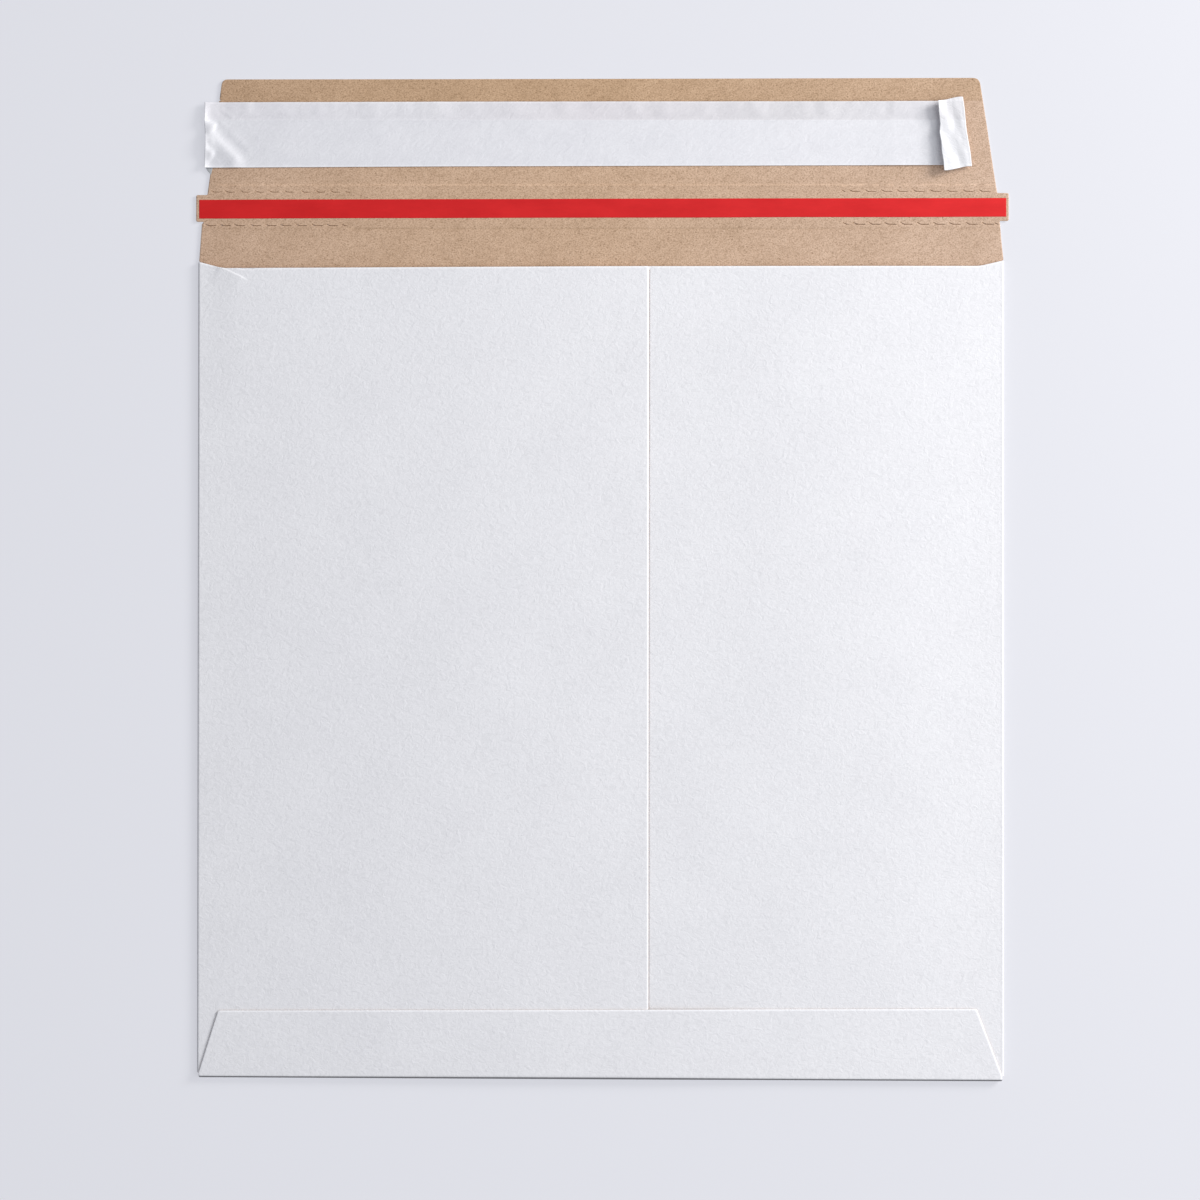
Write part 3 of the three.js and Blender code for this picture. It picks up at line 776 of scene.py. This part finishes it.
def adhesive_tail():
    rows = np.linspace(0, 1, 12)
    cols = np.linspace(0, 1, 9)
    A, B = np.meshgrid(rows, cols, indexing="ij")
    top_l, top_r = np.array([-159.42, 165.9]), np.array([-156.2, 165.9])
    tip = np.array([-157.05, 162.55])
    left = top_l + (tip - top_l) * A[..., None]
    left[..., 0] -= 0.22 * np.sin(A * math.pi)
    right = top_r + (tip + np.array([0.12, 0.1]) - top_r) * A[..., None]
    P = left + (right - left) * B[..., None]
    Z = 0.68 + 0.10 * np.sin(A * 5) * (1 - B) + 0.03 * np.sin(B * 6)
    tail = closed_grid("adhesive_tail", np.concatenate([P, Z[..., None]], 2), 0.07, ease=0.4)
    remember_flat(tail, P)
    return tail


def glue_strip(name, x0, x1, y0, y1, height):
    xs, ys = np.linspace(x0, x1, max(4, int((x1 - x0) / 4))), np.linspace(y0, y1, max(4, int((y1 - y0) / 4)))
    X, Y = np.meshgrid(xs, ys, indexing="ij")
    wob = 0.6 * waves(X, Y, 9.0, 91)
    X2 = X + np.where((X == x0) | (X == x1), wob, 0)
    obj = closed_grid(name, np.stack([X2, Y, height(X, Y)], 2), 0.07, ease=0.6)
    remember_flat(obj, np.stack([X, Y], 2))
    return obj


# -------------------------------------------------------------------- materials
def new_material(name):
    m = bpy.data.materials.new(name)
    m.use_nodes = True
    nt = m.node_tree
    for n in list(nt.nodes):
        nt.nodes.remove(n)
    out = nt.nodes.new("ShaderNodeOutputMaterial")
    bsdf = nt.nodes.new("ShaderNodeBsdfPrincipled")
    nt.links.new(bsdf.outputs["BSDF"], out.inputs["Surface"])
    return m, nt, bsdf


def flat_coordinates(nt, angle=0.0, size=(1.0, 1.0, 1.0)):
    """The sheet's own flat coordinates, turned and divided by size (metres)."""
    at = nt.nodes.new("ShaderNodeAttribute")
    at.attribute_name = "flat"
    mp = nt.nodes.new("ShaderNodeMapping")
    mp.vector_type = "TEXTURE"
    mp.inputs["Rotation"].default_value = (0, 0, angle)
    mp.inputs["Scale"].default_value = size
    nt.links.new(at.outputs["Vector"], mp.inputs["Vector"])
    return mp.outputs["Vector"]


def noise(nt, vector, scale=1.0, detail=2.0, rough=0.5, distortion=0.0):
    n = nt.nodes.new("ShaderNodeTexNoise")
    n.inputs["Scale"].default_value = scale
    n.inputs["Detail"].default_value = detail
    n.inputs["Roughness"].default_value = rough
    n.inputs["Distortion"].default_value = distortion
    nt.links.new(vector, n.inputs["Vector"])
    return n.outputs["Fac"]


def ramp(nt, fac, stops):
    r = nt.nodes.new("ShaderNodeValToRGB")
    el = r.color_ramp.elements
    while len(el) > 1:
        el.remove(el[-1])
    el[0].position, el[0].color = stops[0][0], stops[0][1]
    for p, c in stops[1:]:
        e = el.new(p)
        e.color = c
    nt.links.new(fac, r.inputs["Fac"])
    return r.outputs["Color"]


def maths(nt, op, a, b=None, clamp=False):
    n = nt.nodes.new("ShaderNodeMath")
    n.operation = op
    n.use_clamp = clamp
    for i, s in enumerate((a, b)):
        if s is None:
            continue
        if isinstance(s, (int, float)):
            n.inputs[i].default_value = s
        else:
            nt.links.new(s, n.inputs[i])
    return n.outputs[0]


def blend_color(nt, mode, fac, a, b):
    n = nt.nodes.new("ShaderNodeMix")
    n.data_type = "RGBA"
    n.blend_type = mode
    if isinstance(fac, (int, float)):
        n.inputs["Factor"].default_value = fac
    else:
        nt.links.new(fac, n.inputs["Factor"])
    for key, s in (("A", a), ("B", b)):
        sock = [i for i in n.inputs if i.name == key and i.type == "RGBA"][0]
        if isinstance(s, tuple):
            sock.default_value = s
        else:
            nt.links.new(s, sock)
    return [o for o in n.outputs if o.type == "RGBA"][0]


def bump(nt, bsdf, height, distance, strength=1.0, previous=None):
    b = nt.nodes.new("ShaderNodeBump")
    b.inputs["Strength"].default_value = strength
    b.inputs["Distance"].default_value = distance
    nt.links.new(height, b.inputs["Height"])
    if previous is not None:
        nt.links.new(previous, b.inputs["Normal"])
    nt.links.new(b.outputs["Normal"], bsdf.inputs["Normal"])
    return b.outputs["Normal"]


def attribute_value(nt, name):
    at = nt.nodes.new("ShaderNodeAttribute")
    at.attribute_name = name
    return at.outputs["Fac"]


def along_y(nt, start, length, slope=0.0):
    """0 to 1 along the sheet's y from start over length (metres), with a slope in x."""
    at = nt.nodes.new("ShaderNodeAttribute")
    at.attribute_name = "flat"
    parts = nt.nodes.new("ShaderNodeSeparateXYZ")
    nt.links.new(at.outputs["Vector"], parts.inputs["Vector"])
    s = maths(nt, "ADD", parts.outputs["Y"], maths(nt, "MULTIPLY", parts.outputs["X"], slope))
    return maths(nt, "DIVIDE", maths(nt, "SUBTRACT", s, start), length, True)


def along_x(nt, start, length):
    at = nt.nodes.new("ShaderNodeAttribute")
    at.attribute_name = "flat"
    parts = nt.nodes.new("ShaderNodeSeparateXYZ")
    nt.links.new(at.outputs["Vector"], parts.inputs["Vector"])
    return maths(nt, "DIVIDE", maths(nt, "SUBTRACT", parts.outputs["X"], start), length, True)


def grey(v, tint=(1, 1, 1)):
    return (v * tint[0], v * tint[1], v * tint[2], 1)


FELT = math.radians(-22)


def white_board():
    m, nt, bsdf = new_material("white_lined_board")
    cloud = noise(nt, flat_coordinates(nt, 0, (0.034, 0.034, 1)), 1, 2, 0.5)
    felt = noise(nt, flat_coordinates(nt, FELT, (0.0031, 0.0023, 1)), 1, 3, 0.6, 1.3)
    fine = noise(nt, flat_coordinates(nt, FELT + 0.7, (0.0013, 0.0009, 1)), 1, 3, 0.6, 0.8)
    base = ramp(nt, cloud, [(0.3, (0.930, 0.925, 0.948, 1)), (0.7, (0.960, 0.955, 0.976, 1))])
    streak = ramp(nt, felt, [(0.30, grey(0.945)), (0.5, grey(0.985)), (0.68, grey(1.0))])
    fibre = ramp(nt, fine, [(0.3, grey(0.95)), (0.62, grey(1.0))])
    c = blend_color(nt, "MULTIPLY", 1.0, base, streak)
    c = blend_color(nt, "MULTIPLY", 1.0, c, fibre)
    # painted highlight and painted shade: a band along every cut edge is painted whiter than the sheet, and the very
    # edge grey, as the shade of the gap beside it
    painted_edge_highlight_and_shade = ramp(nt, attribute_value(nt, "cut_edge"), [(0.0, grey(0.92)), (0.3, grey(1.0)), (0.86, grey(1.0)), (0.96, (0.80, 0.79, 0.79, 1))])
    c = blend_color(nt, "MULTIPLY", 1.0, c, painted_edge_highlight_and_shade)
    # painted shade: the left side fold's crease is painted dark grey where it faces away from the light
    side = ramp(nt, along_x(nt, -0.1640, 0.0030), [(0.42, grey(1.0)), (0.54, (0.60, 0.59, 0.60, 1)), (0.74, (0.60, 0.59, 0.60, 1)), (0.86, grey(1.0))])
    c = blend_color(nt, "MULTIPLY", 1.0, c, side)
    # painted shade: the right side fold is painted a shade darker, to tone down its highlight
    side = ramp(nt, along_x(nt, 0.1610, 0.0030), [(0.05, grey(1.0)), (0.20, grey(0.92)), (0.70, grey(0.92)), (0.90, grey(1.0))])
    c = blend_color(nt, "MULTIPLY", 1.0, c, side)
    # painted shadow: a near-black band on the bottom fold stands in for the contact shadow under it
    painted_contact_shadow = ramp(nt, along_y(nt, -0.2030, 0.0030), [(0.19, grey(1.0)), (0.27, (0.26, 0.255, 0.26, 1)), (0.60, (0.26, 0.255, 0.26, 1)), (0.66, grey(1.0))])
    c = blend_color(nt, "MULTIPLY", 1.0, c, painted_contact_shadow)
    nt.links.new(c, bsdf.inputs["Base Color"])
    rough = maths(nt, "ADD", maths(nt, "MULTIPLY", felt, 0.16), 0.60)
    nt.links.new(rough, bsdf.inputs["Roughness"])
    bsdf.inputs["Specular IOR Level"].default_value = 0.3
    h = maths(nt, "ADD", maths(nt, "MULTIPLY", felt, 1.0), maths(nt, "MULTIPLY", fine, 0.30))
    bump(nt, bsdf, h, 0.00020, 0.85)
    return m


def kraft_board():
    m, nt, bsdf = new_material("kraft_board")
    cloud = noise(nt, flat_coordinates(nt, 0.3, (0.022, 0.014, 1)), 1, 3, 0.55)
    felt = noise(nt, flat_coordinates(nt, 0.4, (0.0030, 0.0017, 1)), 1, 3, 0.6, 0.5)
    fleck = noise(nt, flat_coordinates(nt, 0, (0.00075, 0.00060, 1)), 1, 3, 0.65, 0.4)
    fibre = noise(nt, flat_coordinates(nt, -0.5, (0.0022, 0.00042, 1)), 1, 2, 0.6, 0.8)
    grain = noise(nt, flat_coordinates(nt, 0.2, (0.00060, 0.00048, 1)), 1, 2, 0.7, 0.2)
    base = ramp(nt, cloud, [(0.28, (0.752, 0.544, 0.404, 1)), (0.5, (0.810, 0.590, 0.446, 1)),
                            (0.72, (0.862, 0.636, 0.488, 1))])
    # paler and less yellow towards the right
    drift = ramp(nt, along_x(nt, -0.160, 0.320), [(0.0, (1.0, 0.970, 0.925, 1)), (0.25, (1.0, 0.965, 0.890, 1)), (0.50, (1.0, 0.965, 0.885, 1)),
                                                 (0.75, (1.0, 0.985, 0.950, 1)), (1.0, (1.0, 1.0, 1.0, 1))])
    base = blend_color(nt, "MULTIPLY", 1.0, base, drift)
    mottled = ramp(nt, felt, [(0.28, (0.835, 0.81, 0.78, 1)), (0.5, (0.97, 0.96, 0.95, 1)), (0.72, (1.0, 1.0, 1.0, 1))])
    dark = ramp(nt, fleck, [(0.30, (0.50, 0.43, 0.36, 1)), (0.42, (0.86, 0.84, 0.81, 1)), (0.58, (1, 1, 1, 1))])
    speck = ramp(nt, grain, [(0.28, (0.50, 0.46, 0.41, 1)), (0.46, (0.90, 0.885, 0.87, 1)), (0.66, (1, 1, 1, 1))])
    light = ramp(nt, fibre, [(0.62, (0, 0, 0, 1)), (0.78, (0.18, 0.17, 0.15, 1))])
    c = blend_color(nt, "MULTIPLY", 1.0, base, mottled)
    c = blend_color(nt, "MULTIPLY", 0.85, c, dark)
    c = blend_color(nt, "MULTIPLY", 0.9, c, speck)
    c = blend_color(nt, "ADD", 0.6, c, light)
    # ridges of pressed lines are painted lighter, partly as rubbed fibres and partly as painted highlight; grooves and
    # slits are painted darker as painted shade
    pressed = ramp(nt, attribute_value(nt, "pressed"), [(0.0, (0.70, 0.66, 0.62, 1)), (0.25, (0.80, 0.79, 0.77, 1)), (0.5, grey(0.88)), (1.0, grey(1.0))])
    c = blend_color(nt, "MULTIPLY", 1.0, c, pressed)
    # beyond the liner the bare board is a shade browner; the darkest line along the liner is painted shade of the gap
    # under its edge
    strip = ramp(nt, along_y(nt, 0.190, 0.010), [(0.14, grey(1.0)), (0.18, (0.80, 0.765, 0.70, 1)), (0.26, (0.925, 0.895, 0.815, 1))])
    c = blend_color(nt, "MULTIPLY", 1.0, c, strip)
    nt.links.new(c, bsdf.inputs["Base Color"])
    rough = maths(nt, "ADD", maths(nt, "MULTIPLY", fleck, 0.2), 0.62)
    nt.links.new(rough, bsdf.inputs["Roughness"])
    bsdf.inputs["Specular IOR Level"].default_value = 0.28
    h = maths(nt, "ADD", maths(nt, "MULTIPLY", felt, 0.8), maths(nt, "MULTIPLY", fleck, 0.5))
    h = maths(nt, "ADD", h, maths(nt, "MULTIPLY", fibre, 0.35))
    bump(nt, bsdf, h, 0.00024, 0.8)
    return m


def red_tape():
    m, nt, bsdf = new_material("red_tape")
    soft = noise(nt, flat_coordinates(nt, 0, (0.016, 0.006, 1)), 1, 2, 0.5)
    fine = noise(nt, flat_coordinates(nt, 0, (0.0035, 0.0009, 1)), 1, 3, 0.6)
    base = ramp(nt, soft, [(0.3, (0.700, 0.010, 0.012, 1)), (0.7, (0.780, 0.014, 0.016, 1))])
    # painted light: darker and redder towards the left, paler towards the right, the light's fall-off and sheen painted
    # into the tape
    painted_light_falloff = ramp(nt, along_x(nt, -0.160, 0.320), [(0.0, (0.895, 0.75, 0.75, 1)), (0.7, (0.93, 0.90, 0.90, 1)), (1.0, grey(1.0))])
    base = blend_color(nt, "MULTIPLY", 1.0, base, painted_light_falloff)
    c = blend_color(nt, "MULTIPLY", 1.0, base, ramp(nt, fine, [(0.3, grey(0.94)), (0.7, grey(1.0))]))
    nt.links.new(c, bsdf.inputs["Base Color"])
    rough = maths(nt, "ADD", maths(nt, "MULTIPLY", soft, 0.14), 0.40)
    nt.links.new(rough, bsdf.inputs["Roughness"])
    bsdf.inputs["Specular IOR Level"].default_value = 0.34
    h = maths(nt, "ADD", maths(nt, "MULTIPLY", soft, 0.6), maths(nt, "MULTIPLY", fine, 0.2))
    bump(nt, bsdf, h, 0.00006, 0.6)
    return m


def liner_paper():
    m, nt, bsdf = new_material("liner_paper")
    cloud = noise(nt, flat_coordinates(nt, 0, (0.018, 0.010, 1)), 1, 3, 0.5)
    crinkle = noise(nt, flat_coordinates(nt, 0.5, (0.0050, 0.0022, 1)), 1, 4, 0.6, 0.9)
    fine = noise(nt, flat_coordinates(nt, 0, (0.0009, 0.0009, 1)), 1, 2, 0.5)
    base = ramp(nt, cloud, [(0.3, (0.880, 0.876, 0.910, 1)), (0.7, (0.915, 0.911, 0.942, 1))])
    c = blend_color(nt, "MULTIPLY", 1.0, base, ramp(nt, fine, [(0.3, grey(0.955)), (0.7, grey(1.0))]))
    c = blend_color(nt, "MULTIPLY", 1.0, c, ramp(nt, crinkle, [(0.3, grey(0.97)), (0.6, grey(1.0))]))
    # the dry band past the adhesive is a shade darker; the folded-back tab, which faces the light, is painted a shade
    # darker as painted shade to tone down how brightly it is lit
    band = ramp(nt, along_y(nt, 0.180, 0.010, 0.0024), [(0.40, grey(0.0)), (0.44, grey(1.0))])
    shade = ramp(nt, along_x(nt, -0.160, 0.300), [(0.0, (0.985, 0.970, 0.975, 1)), (0.27, (1.0, 0.993, 0.990, 1)), (0.53, (0.955, 0.925, 0.925, 1)),
                                                  (0.80, (0.905, 0.890, 0.880, 1)), (0.95, (0.930, 0.918, 0.918, 1))])
    c = blend_color(nt, "MULTIPLY", band, c, shade)
    # painted highlight: the liner's upper and lower cut edges are left lighter than its body
    edges = ramp(nt, along_y(nt, 0.1650, 0.0270), [(0.03, grey(1.0)), (0.05, grey(0.925)), (0.960, grey(0.925)), (0.976, grey(1.0))])
    c = blend_color(nt, "MULTIPLY", 1.0, c, edges)
    tab = ramp(nt, along_x(nt, 0.145, 0.010), [(0.49, grey(1.0)), (0.52, (0.865, 0.868, 0.865, 1))])
    c = blend_color(nt, "MULTIPLY", 1.0, c, tab)
    nt.links.new(c, bsdf.inputs["Base Color"])
    rough = maths(nt, "ADD", maths(nt, "MULTIPLY", crinkle, 0.18), 0.30)
    nt.links.new(rough, bsdf.inputs["Roughness"])
    bsdf.inputs["Specular IOR Level"].default_value = 0.5
    bsdf.inputs["Coat Weight"].default_value = 0.12
    bsdf.inputs["Coat Roughness"].default_value = 0.25
    h = maths(nt, "ADD", crinkle, maths(nt, "MULTIPLY", fine, 0.1))
    bump(nt, bsdf, h, 0.00030, 0.6)
    return m


def clear_adhesive():
    m, nt, bsdf = new_material("clear_adhesive")
    cloud = noise(nt, flat_coordinates(nt, 0, (0.003, 0.003, 1)), 1, 3, 0.5)
    base = ramp(nt, cloud, [(0.3, (0.34, 0.35, 0.36, 1)), (0.7, (0.50, 0.50, 0.50, 1))])
    nt.links.new(base, bsdf.inputs["Base Color"])
    bsdf.inputs["Roughness"].default_value = 0.22
    bump(nt, bsdf, cloud, 0.0002, 0.6)
    return m


def seam_glue():
    m, nt, bsdf = new_material("seam_glue")
    cloud = noise(nt, flat_coordinates(nt, 0, (0.004, 0.004, 1)), 1, 3, 0.5)
    base = ramp(nt, cloud, [(0.3, (0.62, 0.60, 0.50, 1)), (0.7, (0.72, 0.70, 0.62, 1))])
    nt.links.new(base, bsdf.inputs["Base Color"])
    bsdf.inputs["Roughness"].default_value = 0.4
    bump(nt, bsdf, cloud, 0.0002, 0.5)
    return m


def floor_material():
    m, nt, bsdf = new_material("studio_floor")
    # a pale lit table, as plain product shots use, so that shadows on it stay faint
    bsdf.inputs["Base Color"].default_value = (0.32, 0.32, 0.335, 1)
    bsdf.inputs["Roughness"].default_value = 0.6
    bsdf.inputs["Specular IOR Level"].default_value = 0.2
    bsdf.inputs["Emission Color"].default_value = (0.92, 0.93, 1.0, 1)
    bsdf.inputs["Emission Strength"].default_value = 0.50
    return m


# ------------------------------------------------------------------ assembling
# camera first: straight down on the envelope as the photograph frames it
cam_data = bpy.data.cameras.new("camera")
cam_data.sensor_width = 36.0
cam_data.lens = 36.0 * 3482.2 / 1200.0
cam_data.clip_start, cam_data.clip_end = 0.05, 20.0
camera = bpy.data.objects.new("camera", cam_data)
camera.location = (0.02989, -0.01926, 1.4)
camera.rotation_euler = Euler((0.00741, 0.02132, 0.00077), "XYZ")
bpy.context.scene.collection.objects.link(camera)
bpy.context.scene.camera = camera

mat_white, mat_kraft = white_board(), kraft_board()
mat_tape, mat_liner, mat_film, mat_glue = red_tape(), liner_paper(), clear_adhesive(), seam_glue()

board = sheet()
board.data.materials.append(mat_white)
board.data.materials.append(mat_kraft)
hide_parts("envelope_body", "closure_flap")
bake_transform(board)

tape = tear_tape()
tape.data.materials.append(mat_tape)
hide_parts("tear_tape")
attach(tape, "flap")

film = adhesive()
film.data.materials.append(mat_film)
tail_piece = adhesive_tail()
tail_piece.data.materials.append(mat_film)
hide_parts("closure_adhesive")
for o in (film, tail_piece):
    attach(o, "flap")

strip = liner()
strip.data.materials.append(mat_liner)
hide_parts("release_liner")
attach(strip, "flap")
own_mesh(strip)

seam_strip = glue_strip("side_seam_glue_line", -2.0, 15.0, -196.0, 121.0,
                        lambda x, y: BACK_Z + BOARD + 0.075 + bulge(x, y, False))
bottom_strip = glue_strip("bottom_flap_glue_line", -147.0, 145.0, -192.5, -177.5,
                          lambda x, y: BACK_Z + BOARD + 0.075 + bottom_lift(x) + bulge(x, y, x < SEAM_X))
for o, node in ((seam_strip, "side_seam_glue"), (bottom_strip, "bottom_flap_glue")):
    o.data.materials.append(mat_glue)
    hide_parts(node)
    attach(o, "envelope")

# ------------------------------------------------------------- floor and light
bpy.ops.mesh.primitive_plane_add(size=6.0, location=(0, 0, -0.0004))
floor = bpy.context.object
floor.name = "studio_floor"
floor.data.materials.append(floor_material())


def area_light(name, location, target, size, watts, color=(1, 1, 1), size_y=None):
    d = bpy.data.lights.new(name, "AREA")
    d.shape = "RECTANGLE"
    d.size = size
    d.size_y = size_y or size
    d.energy = watts
    d.color = color
    o = bpy.data.objects.new(name, d)
    o.location = location
    aim = Vector(target) - Vector(location)
    o.rotation_euler = aim.to_track_quat("-Z", "Y").to_euler()
    bpy.context.scene.collection.objects.link(o)
    return o


area_light("key", (1.2, 0.62, 0.65), (0.05, 0.0, 0.0), 0.5, 18.8, (1.0, 0.985, 0.965))
area_light("fill", (1.1, -0.2, 1.4), (0, 0, 0), 1.4, 11.2, (0.97, 0.985, 1.0))

world = bpy.data.worlds.new("studio")
world.use_nodes = True
bg = world.node_tree.nodes["Background"]
bg.inputs["Color"].default_value = (0.90, 0.925, 1.0, 1)
bg.inputs["Strength"].default_value = 0.41
bpy.context.scene.world = world
bpy.context.scene.view_settings.view_transform = "Standard"
